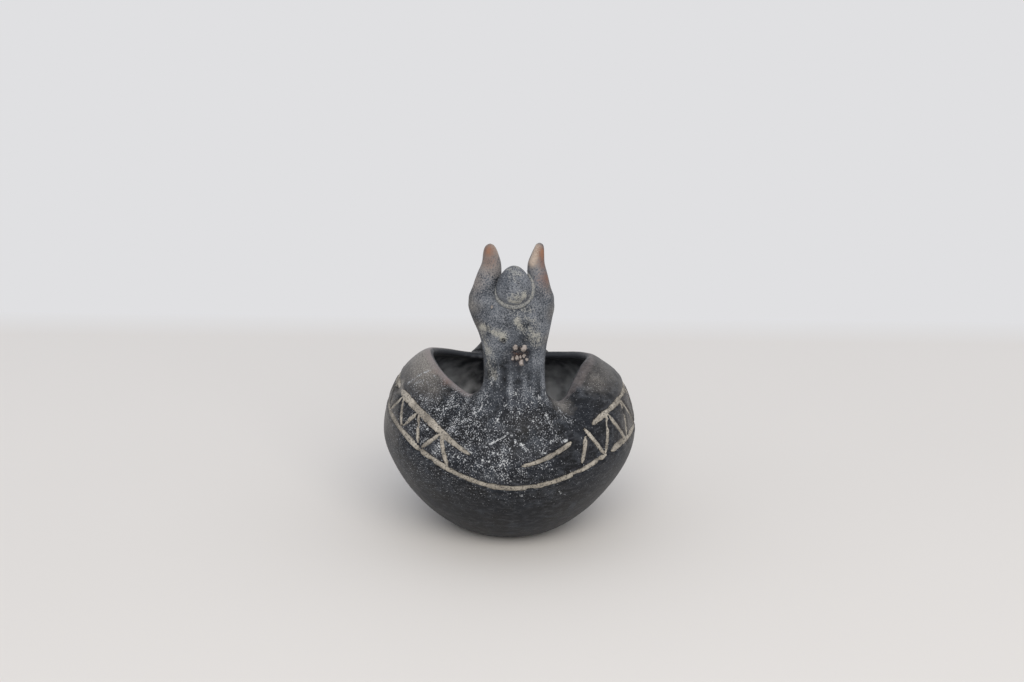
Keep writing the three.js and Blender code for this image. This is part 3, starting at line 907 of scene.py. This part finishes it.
# Materials.
def linear(hex_colour):
    """An sRGB colour as linear red, green, blue and full alpha."""
    channels = [int(hex_colour[i : i + 2], 16) / 255 for i in (1, 3, 5)]
    return [c / 12.92 if c <= 0.04045 else ((c + 0.055) / 1.055) ** 2.4 for c in channels] + [1.0]


def per_metre(millimetres):
    """A texture's scale from the size of one of its features."""
    return 1000.0 / millimetres


def add(tree, kind, inputs, gives=0, **settings):
    """Adds a shader node with its settings, sets or links its inputs, and returns one of its outputs."""
    node = tree.nodes.new("ShaderNode" + kind)
    for name, value in settings.items():
        setattr(node, name, value)
    for name, value in inputs.items():
        if isinstance(value, bpy.types.NodeSocket):
            tree.links.new(value, node.inputs[name])
        else:
            node.inputs[name].default_value = value
    return node.outputs[gives] if node.outputs else None


def new_material(name):
    material = bpy.data.materials.new(name)
    material.use_nodes = True
    material.node_tree.nodes.clear()
    return material, material.node_tree


# The coats of colour on the clay, from the ground up: colour, the tone that lays it on, the grain that
# breaks it up and how strongly, where it starts and is full, and how much it covers.
CLAY_COATS = {
    "blue black": ("#12161d", None, "cloud", 1.0, 0.38, 0.62, 1.0),
    "brown black": ("#181716", None, "mottle", 1.0, 0.54, 0.74, 0.8),
    "rubbed": ("#3b3d41", None, "rub", 1.0, 0.48, 0.68, 0.7),
    "ash": ("#4a4f56", "ash", "mottle", 1.4, 0.85, 1.75, 1.0),
    "light ash": ("#888b8f", "ash", "speck", 2.2, 1.65, 2.4, 0.85),
    # This coat and the next lay rubbed clay and painted sheen: painted top light and sheen on the shoulders,
    # painted sheen at the widest sides and a painted highlight on the right shoulder.
    "painted_sheen_and_rubbing": ("#6f6b66", "painted_sheen_and_rubbing", "mottle", 0.6, 0.45, 1.3, 1.0),
    "pale_specks_and_sheen": ("#a19c93", "painted_sheen_and_rubbing", "speck", 2.4, 1.8, 2.4, 0.65),
    "pits": ("#0c0d10", None, "speck", -1.0, -0.38, -0.3, 0.5),
    "pale": ("#a09e94", "pale", "speck", 1.6, 1.15, 1.8, 0.85),
    "lip": ("#877e7b", "lip", "mottle", 0.6, 0.5, 1.2, 0.85),
    "blush": ("#93887e", "blush", "speck", 1.0, 0.7, 1.35, 0.9),
    "beige": ("#bdac9b", "blush", "mottle", 0.6, 0.95, 1.4, 0.9),
    "rust": ("#775646", "rust", "speck", 1.0, 0.7, 1.3, 0.85),
    "orange": ("#aa7652", "rust", "mottle", 0.5, 0.9, 1.4, 0.75),
    "wash": ("#5d646e", "dust", "streak", 2.0, 1.5, 2.4, 0.42),
    "dust": ("#93969a", "dust", "speck", 3.0, 2.15, 2.45, 0.95),
    "chalky": ("#bcbdbb", "dust", "speck", 2.0, 1.65, 2.05, 0.9),
    "soot": ("#2f3135", "soot", "mottle", 0.3, 0.5, 1.1, 0.95),
    # Pale sediment, partly painted light on the lower inner wall of the hollow.
    "painted_light_and_sediment": ("#b4b5b5", "painted_light_and_sediment", "mottle", 0.6, 0.47, 1.2, 0.95),
}


def earthenware():
    """Reduction-fired, burnished black earthenware: charcoal black with a soft sheen, rubbed to ash grey on
    the head, burnt to orange where the horn tips are rubbed down, and dusted with pale soil in its pores."""
    material, tree = new_material("burnished_black_earthenware")
    place = add(tree, "TexCoord", {}, "Object")
    brushed = add(tree, "Mapping", {"Vector": place, "Scale": (1.0, 1.0, 0.8)})
    wiped = add(tree, "Mapping", {"Vector": place, "Scale": (1.0, 1.0, 0.2)})
    burnished = add(tree, "Mapping", {"Vector": place, "Scale": (0.35, 0.35, 1.0)})
    grains = {}
    for name, where, size, detail in (
        ("cloud", place, 11.0, 4.0),
        ("mottle", place, 2.6, 4.0),
        ("speck", brushed, 0.36, 1.5),
        ("streak", wiped, 1.1, 4.0),
        ("rub", burnished, 0.9, 4.0),
        ("pore", place, 0.45, 4.0),
    ):
        grain = {"Vector": where, "Scale": per_metre(size), "Detail": detail, "Roughness": 0.6}
        grains[name] = add(tree, "TexNoise", grain)
    base = linear("#090b0f")
    covers = {}
    for name, (colour, tone, grain, weight, low, high, most) in CLAY_COATS.items():
        laid = add(tree, "Attribute", {}, "Fac", attribute_name=tone) if tone else 0.0
        share = add(tree, "Math", {0: grains[grain], 1: weight, 2: laid}, operation="MULTIPLY_ADD")
        covers[name] = add(tree, "MapRange", {0: share, 1: low, 2: high, 4: most})
        base = add(tree, "Mix", {0: covers[name], 6: base, 7: linear(colour)}, 2, data_type="RGBA")
    rough = add(tree, "MapRange", {0: grains["cloud"], 1: 0.3, 2: 0.7, 3: 0.42, 4: 0.56})
    rough = add(tree, "Math", {0: covers["ash"], 1: 0.3, 2: rough}, operation="MULTIPLY_ADD")
    rough = add(tree, "Math", {0: covers["dust"], 1: 0.4, 2: rough}, operation="MULTIPLY_ADD")
    relief = add(tree, "Math", {0: grains["pore"], 1: 0.5, 2: grains["mottle"]}, operation="MULTIPLY_ADD")
    relief = add(tree, "Math", {0: covers["dust"], 1: 0.3, 2: relief}, operation="MULTIPLY_ADD")
    strength = add(tree, "MapRange", {0: covers["ash"], 3: 0.25, 4: 0.8})
    bumped = add(tree, "Bump", {"Strength": strength, "Distance": 0.4 * MM, "Height": relief})
    skin = {
        "Base Color": base,
        "Roughness": rough,
        "IOR": 1.36,
        "Specular IOR Level": 0.33,
        "Sheen Weight": 0.06,
        "Sheen Roughness": 0.5,
        "Sheen Tint": linear("#d4d3d2"),
        "Normal": bumped,
    }
    add(tree, "OutputMaterial", {0: add(tree, "BsdfPrincipled", skin)})
    return material


def chalk_paste():
    """White chalk paste rubbed into the cuts: dry, matt, stained grey and crumbling at the surface."""
    material, tree = new_material("chalk_paste")
    place = add(tree, "TexCoord", {}, "Object")
    stain = add(tree, "TexNoise", {"Vector": place, "Scale": per_metre(4.0), "Detail": 4.0})
    crumb = add(tree, "TexNoise", {"Vector": place, "Scale": per_metre(0.55), "Detail": 2.0})
    stained = add(tree, "MapRange", {0: stain, 1: 0.36, 2: 0.62})
    crumbled = add(tree, "MapRange", {0: crumb, 1: 0.5, 2: 0.34, 4: 0.85})
    base = add(tree, "Mix", {0: stained, 6: linear("#7f796f"), 7: linear("#b0a99c")}, 2, data_type="RGBA")
    base = add(tree, "Mix", {0: crumbled, 6: base, 7: linear("#4a4743")}, 2, data_type="RGBA")
    bumped = add(tree, "Bump", {"Strength": 0.7, "Distance": 0.3 * MM, "Height": crumb})
    skin = {"Base Color": base, "Roughness": 0.93, "IOR": 1.45, "Normal": bumped}
    add(tree, "OutputMaterial", {0: add(tree, "BsdfPrincipled", skin)})
    return material


def quartz_grit():
    """Crushed quartz in the clay, laid bare by a break: milky, slightly glassy grains."""
    material, tree = new_material("quartz_grit")
    place = add(tree, "TexCoord", {}, "Object")
    vein = add(tree, "TexNoise", {"Vector": place, "Scale": per_metre(0.6), "Detail": 3.0})
    veined = add(tree, "MapRange", {0: vein, 1: 0.35, 2: 0.6})
    base = add(tree, "Mix", {0: veined, 6: linear("#6c635d"), 7: linear("#9a918a")}, 2, data_type="RGBA")
    skin = {"Base Color": base, "Roughness": 0.55, "IOR": 1.54}
    add(tree, "OutputMaterial", {0: add(tree, "BsdfPrincipled", skin)})
    return material


def background_rays(tree):
    """Full for the rays that show the background: from the camera, mirrored, or through glass."""
    rays = [add(tree, "LightPath", {}, f"Is {kind} Ray") for kind in ("Camera", "Glossy", "Transmission")]
    shown = add(tree, "Math", {0: rays[0], 1: rays[1]}, operation="MAXIMUM")
    return add(tree, "Math", {0: shown, 1: rays[2]}, operation="MAXIMUM")


def painted_shelf():
    """White-painted shelf board: even, matt, very faintly uneven. Away from the dish it passes softly into
    the colour of the wall, so that no edge of it shows from any side."""
    material, tree = new_material("painted_shelf")
    place = add(tree, "TexCoord", {}, "Object")
    patch = add(tree, "TexNoise", {"Vector": place, "Scale": per_metre(200.0)})
    base = add(tree, "Mix", {0: patch, 6: linear("#d9d5ce"), 7: linear("#dedad3")}, 2, data_type="RGBA")
    board = add(tree, "BsdfPrincipled", {"Base Color": base, "Roughness": 0.8})
    along = add(tree, "SeparateXYZ", {0: place}, "Y")
    aside = add(tree, "Math", {0: add(tree, "SeparateXYZ", {0: place}, "X")}, operation="ABSOLUTE")
    past = 0.0
    for way, (start, end) in ((along, SHELF_BACK), (along, SHELF_FRONT), (aside, SHELF_SIDE)):
        past_edge = add(tree, "MapRange", {0: way, 1: start, 2: end})
        past = add(tree, "Math", {0: past_edge, 1: past}, operation="MAXIMUM")
    shown = add(tree, "Math", {0: past, 1: background_rays(tree)}, operation="MULTIPLY")
    wall = add(tree, "Emission", {0: linear(WALL_COLOUR)})
    add(tree, "OutputMaterial", {0: add(tree, "MixShader", {0: shown, 1: board, 2: wall})})
    return material


# Finishing a piece.
def placed(name, data):
    """A new object in the scene."""
    thing = bpy.data.objects.new(name, data)
    bpy.context.scene.collection.objects.link(thing)
    return thing


def new_mesh(bm, name, materials):
    """A mesh with its materials from a form, which is used up."""
    mesh = bpy.data.meshes.new(name)
    bm.to_mesh(mesh)
    bm.free()
    for material in materials:
        mesh.materials.append(material)
    return mesh


def finish_piece(bm, name, materials, node):
    """Makes a piece in metres from its form, and hands it to the frame in place of a node."""
    bmesh.ops.scale(bm, vec=(MM, MM, MM), verts=bm.verts)
    mesh = new_mesh(bm, name, materials)
    mesh.shade_smooth()
    piece = placed(name, mesh)
    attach(piece, "root")
    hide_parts(node)


def make_bowl():
    """The bowl before the band is cut: turned, pressed into a saddle, made uneven, and its rim sunk."""
    bm = bmesh.new()
    for vert in turned(bm, bowl_section(), BOWL_STEPS):
        vert.co = by_hand(pressed(vert.co))
    bm.normal_update()
    return bm


def make_boss():
    """An egg with its narrow end up."""
    bm = bmesh.new()
    bmesh.ops.create_uvsphere(bm, u_segments=80, v_segments=56, radius=1.0)
    for vert in bm.verts:
        narrow = 1 - BOSS_TAPER * vert.co.z
        spread = Vector((narrow * BOSS_HALF.x, narrow * BOSS_HALF.y, BOSS_HALF.z))
        vert.co = BOSS_MIDDLE + vert.co * spread
        vert.co *= 1 + BOSS_SWELL[1] * noise.noise(vert.co / BOSS_SWELL[0])
    bm.normal_update()
    return bm


def head_front(trees, x, z):
    """The foremost skin of the head, seen from the front: its place and normal."""
    hits = [tree.ray_cast(Vector((x, -BELLY_RADIUS * 1.5, z)), Vector((0, 1, 0))) for tree in trees]
    return min((hit[:2] for hit in hits if hit[0] is not None), key=lambda hit: hit[0].y, default=None)


def make_collar(trees):
    """A thin roll of clay pressed round the lower front of the boss."""
    path = []
    for i in range(COLLAR_STEPS + 1):
        turn = math.radians(blend(*COLLAR_ARC, i / COLLAR_STEPS))
        narrow = 1 - BOSS_TAPER * math.sin(turn)
        x = BOSS_MIDDLE.x + math.cos(turn) * narrow * (BOSS_HALF.x + COLLAR_GAP[0])
        z = BOSS_MIDDLE.z + math.sin(turn) * (BOSS_HALF.z + COLLAR_GAP[1])
        hit = head_front(trees, x, z)
        if hit:
            path.append(hit[0] + hit[1] * COLLAR_PUSH)
    for _ in range(6):
        inner = [(a + 2 * b + c) / 4 for a, b, c in zip(path, path[1:], path[2:])]
        path = path[:1] + inner + path[-1:]
    last = len(path) - 1
    rings = []
    for i, place in enumerate(path):
        along = (path[min(last, i + 1)] - path[max(0, i - 1)]).normalized()
        across = Vector((0, -1, 0)).cross(along).normalized()
        out = along.cross(across)
        radius = COLLAR_RADIUS * smooth_step(*COLLAR_TAPER, min(i, last - i))
        rings.append([place + (across * math.cos(t) + out * math.sin(t)) * radius for t in turns(16)])
    bm = bmesh.new()
    roll_of_clay(bm, rings)
    bm.normal_update()
    return bm


# Chips out of the neck: across, height, radius and depth.
CHIPS = ((3.0, 67.4, 2.7, 0.7), (3.3, 77.2, 1.5, 0.35), (-2.1, 72.1, 0.65, 0.7))

# Grains of quartz that the chips laid bare: across, height and radius.
GRAINS = (
    (1.5, 69.7, 1.0),
    (4.3, 69.6, 1.0),
    (0.85, 66.5, 0.58),
    (2.05, 66.4, 0.7),
    (3.1, 66.7, 0.45),
    (4.3, 66.9, 0.58),
    (5.1, 66.0, 0.42),
    (3.6, 65.1, 0.84),
    (-5.6, 82.3, 0.42),
)


def chip(bm, tree, x, z, radius, depth):
    """Knocks a chip out of the clay, ragged at its edge and on its floor."""
    middle = head_front([tree], x, z)[0]
    for vert in bm.verts:
        distance = (vert.co - middle).length
        if distance > radius * 1.6:
            continue
        ragged = radius * (1 + 0.35 * noise.noise(vert.co / 1.3))
        floor = depth * (1 + 0.5 * noise.noise(vert.co / 0.7))
        vert.co -= vert.normal * (floor * (1 - smooth_step(ragged * 0.6, ragged, distance)))


def bare_grains(bm, tree):
    """Grains of crushed quartz: uneven, taller than wide, half flattened and sunk into the clay."""
    for x, z, size in GRAINS:
        place, normal = head_front([tree], x, z)
        made = bmesh.ops.create_icosphere(bm, subdivisions=2, radius=size)
        for vert in made["verts"]:
            vert.co *= 1 + 0.6 * noise.noise(vert.co * 1.1 / size + place * 3)
            vert.co.z *= 1.3
            vert.co -= normal * (vert.co.dot(normal) * 0.5 + size * 0.25)
            vert.co += place
        for face in {face for vert in made["verts"] for face in vert.link_faces}:
            face.material_index = 1


# Camera, shelf and light, in metres and degrees. The focal length is in pixels of the image's width.
IMAGE_WIDTH = 1024
IMAGE_HEIGHT = 682
FOCAL_PIXELS = 2525.0
SENSOR_WIDTH = 36.0
CAMERA_PLACE = Vector((0.0, -0.7543, 0.3216))
CAMERA_PITCH = 19.1
CAMERA_YAW = -0.045
CAMERA_ROLL = 0.6
SHELF_SIZE = 6.0

# Where the shelf starts to pass into the wall and where it has done so, in metres from the dish.
SHELF_BACK = (0.176, 0.204)
SHELF_FRONT = (-0.35, -0.9)
SHELF_SIDE = (0.35, 0.9)
WALL_COLOUR = "#e0e0e2"

# The soft lamp in metres and watts, and the light of the room.
LAMP_PLACE = Vector((0.2, -1.35, 1.15))
LAMP_TARGET = Vector((0.0, 0.0, 0.05))
LAMP_SIZE = (1.6, 1.2)
LAMP_POWER = 20.5
LAMP_COLOUR = (1.0, 0.95, 0.89)
ROOM_COLOUR = "#e8ecf7"
ROOM_LIGHT = 0.85


def camera_turn():
    yaw = Matrix.Rotation(math.radians(CAMERA_YAW), 4, "Z")
    pitch = Matrix.Rotation(math.radians(90 - CAMERA_PITCH), 4, "X")
    roll = Matrix.Rotation(math.radians(CAMERA_ROLL), 4, "Z")
    return yaw @ pitch @ roll


def make_camera():
    data = bpy.data.cameras.new("camera")
    data.sensor_width = SENSOR_WIDTH
    data.lens = FOCAL_PIXELS / IMAGE_WIDTH * SENSOR_WIDTH
    camera = placed("camera", data)
    camera.matrix_world = Matrix.Translation(CAMERA_PLACE) @ camera_turn()
    bpy.context.scene.camera = camera


def seen_at(pixel, trees):
    """The place on the foremost skin that a pixel of the image shows."""
    ray = Vector((pixel[0] - IMAGE_WIDTH / 2, IMAGE_HEIGHT / 2 - pixel[1], -FOCAL_PIXELS))
    heading = (camera_turn() @ ray).normalized()
    hits = [tree.ray_cast(CAMERA_PLACE / MM, heading) for tree in trees]
    return min((hit for hit in hits if hit[0] is not None), key=lambda hit: hit[3])[0]


def all_dust(trees):
    """Every streak of dust by its places, also those that are kept as pixels, three of which are also painted
    highlight.
    """
    streaks = list(DUST)
    for *pixels, radius, strength in DUST_AND_HIGHLIGHTS_BY_PIXEL.values():
        streaks.append((*(seen_at(pixel, trees) for pixel in pixels), radius, strength))
    return streaks


def make_shelf():
    bm = bmesh.new()
    bmesh.ops.create_grid(bm, x_segments=1, y_segments=1, size=SHELF_SIZE / 2)
    shelf = placed("shelf", new_mesh(bm, "shelf", [painted_shelf()]))


def make_light():
    """An even room, with a wide soft lamp above and in front, and a pale wall behind the shelf."""
    lamp = bpy.data.lights.new("softbox", "AREA")
    lamp.shape = "RECTANGLE"
    lamp.size, lamp.size_y = LAMP_SIZE
    lamp.energy = LAMP_POWER
    lamp.color = LAMP_COLOUR
    softbox = placed("softbox", lamp)
    softbox.location = LAMP_PLACE
    softbox.rotation_euler = (LAMP_PLACE - LAMP_TARGET).to_track_quat("Z", "Y").to_euler()
    world = bpy.data.worlds.new("room")
    bpy.context.scene.world = world
    world.use_nodes = True
    tree = world.node_tree
    tree.nodes.clear()
    wall = add(tree, "Background", {0: linear(WALL_COLOUR), 1: 1.0})
    room = add(tree, "Background", {0: linear(ROOM_COLOUR), 1: ROOM_LIGHT})
    add(tree, "OutputWorld", {0: add(tree, "MixShader", {0: background_rays(tree), 1: room, 2: wall})})


# The dish, piece by piece, on its shelf.
bpy.context.scene.view_settings.view_transform = "Standard"
make_camera()
make_shelf()
make_light()

clay = earthenware()
chalk = chalk_paste()
grit = quartz_grit()

bowl = make_bowl()
bowl_tree = BVHTree.FromBMesh(bowl)
marks = band_strokes(bowl_tree)
incise(bowl, marks)

neck = luted_column(NECK, bowl_tree, steps=216, rows=140, skirt_rows=28, reach=7.0)
neck_tree = BVHTree.FromBMesh(neck)
for one_chip in CHIPS:
    chip(neck, neck_tree, *one_chip)
neck.normal_update()
bare_grains(neck, BVHTree.FromBMesh(neck))

dust = all_dust([BVHTree.FromBMesh(bowl), BVHTree.FromBMesh(neck)])
weathered(bowl, dust, inside_tones)
finish_piece(bowl, "dish_bowl", [clay], "bowl")

for paste_name, paste_strokes in marks.items():
    paste = bmesh.new()
    for stroke in paste_strokes:
        paste_strip(paste, *stroke)
    finish_piece(paste, f"dish_{paste_name}", [chalk], paste_name)

horns = {
    side: luted_column(stations, neck_tree, steps=84, rows=70, skirt_rows=16, reach=3.2)
    for side, stations in (("left", HORN_LEFT), ("right", HORN_RIGHT))
}
collar = make_collar([neck_tree] + [BVHTree.FromBMesh(horn) for horn in horns.values()])
weathered(neck, dust, joined_tones(bowl_tree))
finish_piece(neck, "dish_neck", [clay, grit], "neck")
for side, horn in horns.items():
    weathered(horn, dust)
    finish_piece(horn, f"dish_horn_{side}", [clay], f"horn_{side}")

weathered(collar, dust, least={"pale": 0.64, "ash": 0.95})
finish_piece(collar, "dish_boss_collar", [clay], "boss_collar")
boss = make_boss()
weathered(boss, dust)
finish_piece(boss, "dish_egg_boss", [clay], "egg_boss")

tail = luted_column(TAIL, bowl_tree, steps=96, rows=60, skirt_rows=18, reach=6.0)
weathered(tail, dust, joined_tones(bowl_tree))
finish_piece(tail, "dish_tail_lug", [clay], "tail_lug")
